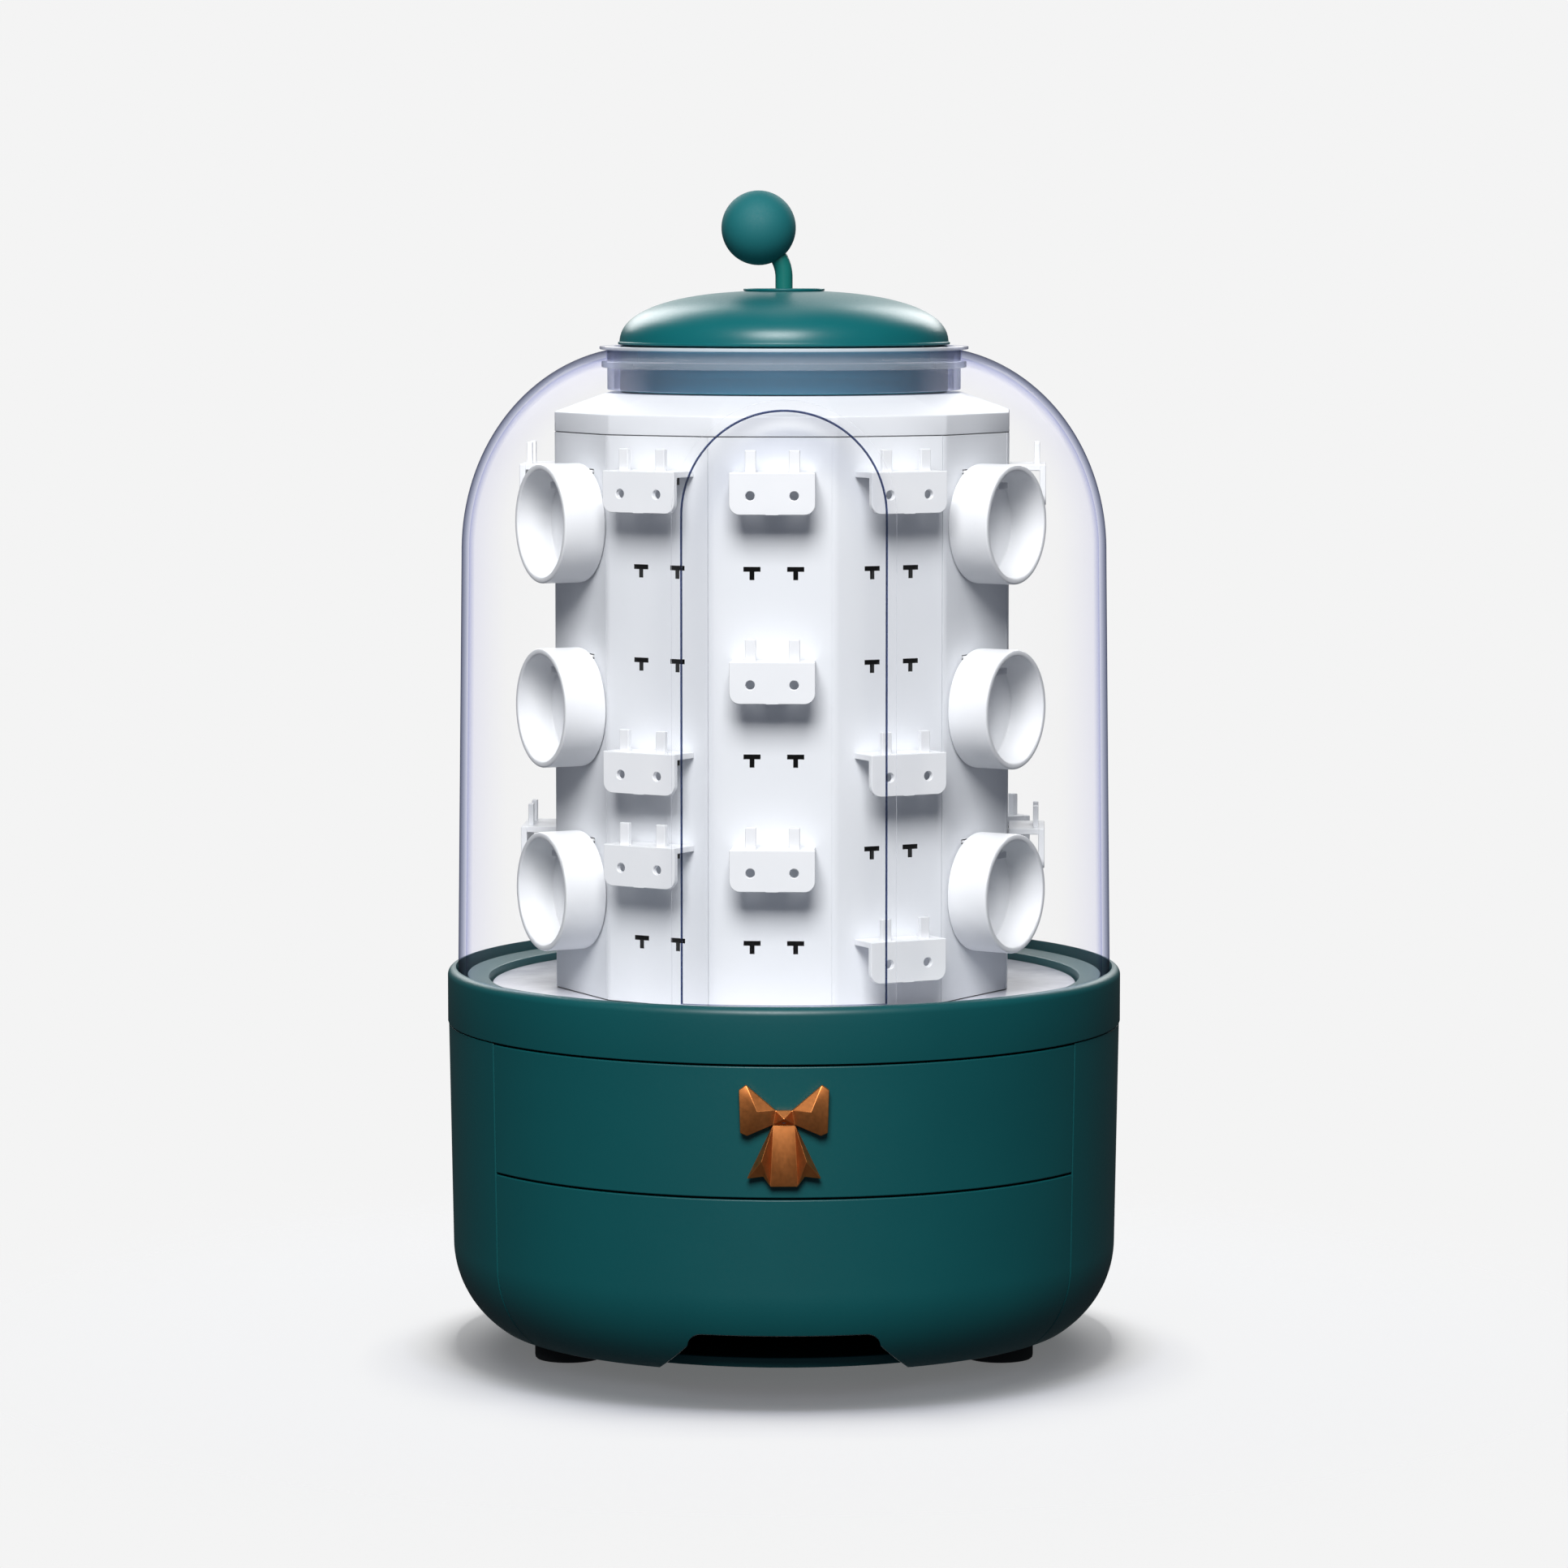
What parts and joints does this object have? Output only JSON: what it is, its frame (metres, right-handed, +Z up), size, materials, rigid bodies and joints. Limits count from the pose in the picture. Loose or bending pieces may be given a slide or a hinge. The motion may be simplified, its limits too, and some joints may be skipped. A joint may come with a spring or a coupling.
{
  "type": "rotating jewelry box",
  "caption": "Countertop jewelry organizer: clear dome with sliding arched door over a turning column of earring hangers and small dishes, on a round drawer base with a lift-off lid.",
  "frame": {"origin": "centre of the round base, on the surface the feet stand on", "axes": "+Z up along the carousel's axis, -Y towards the drawers and the arched door, +X to the right seen from the front"},
  "size_m": [0.2006, 0.2046, 0.3419],
  "materials": {
    "teal_plastic": "satin moulded, deep teal green",
    "dark_plastic": "matt moulded, dark green",
    "grey_plastic": "matt moulded, pale blue grey",
    "disc_plastic": "satin moulded, pale lilac grey",
    "white_plastic": "satin moulded white",
    "clear_plastic": "clear polished",
    "black_rubber": "matt",
    "copper_plate": "polished copper plate",
    "steel": "zinc plated"
  },
  "bodies": {
    "base": {"base_shell": "teal_plastic", "top_ring": "teal_plastic", "drawer_partition": "dark_plastic", "deck_plate": "dark_plastic", "lower_drawer_runner": "dark_plastic", "upper_drawer_runner": "dark_plastic", "rubber_foot_1": "black_rubber", "rubber_foot_2": "black_rubber", "rubber_foot_3": "black_rubber", "rubber_foot_4": "black_rubber", "pivot_post": "steel", "pivot_washer": "steel", "pivot_screw": "steel", "bearing_lower_race": "steel", "dome_shell": "clear_plastic", "neck_collar": "clear_plastic"},
    "carousel": {"bearing_upper_race": "steel", "turntable_disc": "disc_plastic", "column_base_ring": "grey_plastic", "column_body": "grey_plastic", "column_cap": "grey_plastic", "earring_hanger_01": "white_plastic", "earring_hanger_02": "white_plastic", "earring_hanger_03": "white_plastic", "earring_hanger_04": "white_plastic", "earring_hanger_05": "white_plastic", "earring_hanger_06": "white_plastic", "earring_hanger_07": "white_plastic", "earring_hanger_08": "white_plastic", "earring_hanger_09": "white_plastic", "earring_hanger_10": "white_plastic", "earring_hanger_11": "white_plastic", "earring_hanger_12": "white_plastic", "earring_hanger_13": "white_plastic", "earring_hanger_14": "white_plastic", "earring_hanger_15": "white_plastic", "ring_dish_01": "white_plastic", "ring_dish_02": "white_plastic", "ring_dish_03": "white_plastic", "ring_dish_04": "white_plastic", "ring_dish_05": "white_plastic", "ring_dish_06": "white_plastic"},
    "bearing_cage": {"ball_cage": "steel"},
    "lid": {"lid_cap": "teal_plastic", "lid_skirt": "dark_plastic", "lid_hub": "dark_plastic", "knob_plate": "teal_plastic", "knob_stem": "teal_plastic", "knob_ball": "teal_plastic", "knob_nut": "steel"},
    "door": {"door_panel": "clear_plastic"},
    "upper_drawer": {"upper_drawer_front": "teal_plastic", "upper_drawer_tray": "dark_plastic", "drawer_pull": "copper_plate", "pull_screw_lower": "steel", "pull_screw_upper": "steel"},
    "lower_drawer": {"lower_drawer_front": "teal_plastic", "lower_drawer_tray": "dark_plastic", "front_screw_left": "steel", "front_screw_right": "steel"}
  },
  "joints": [
    {"name": "carousel_spin", "type": "hinge", "parent": "base", "child": "carousel", "pos_m": [0, 0, 0.107], "axis": [0, 0, 1], "continuous": true},
    {"name": "bearing_cage_spin", "type": "hinge", "parent": "base", "child": "bearing_cage", "pos_m": [0, 0, 0.0997], "axis": [0, 0, 1], "continuous": true},
    {"name": "lid_lift", "type": "slide", "parent": "carousel", "child": "lid", "axis": [0, 0, 1], "range_m": [0, 0.045]},
    {"name": "door_slide", "type": "hinge", "parent": "base", "child": "door", "pos_m": [0, 0, 0.11], "axis": [0, 0, 1], "range_deg": [0, 90]},
    {"name": "upper_drawer_slide", "type": "slide", "parent": "base", "child": "upper_drawer", "axis": [0, -1, 0], "range_m": [0, 0.09]},
    {"name": "lower_drawer_slide", "type": "slide", "parent": "base", "child": "lower_drawer", "axis": [0, -1, 0], "range_m": [0, 0.09]}
  ],
  "couplings": [
    {"joint": "bearing_cage_spin", "follows": "carousel_spin", "ratio": 0.5}
  ]
}
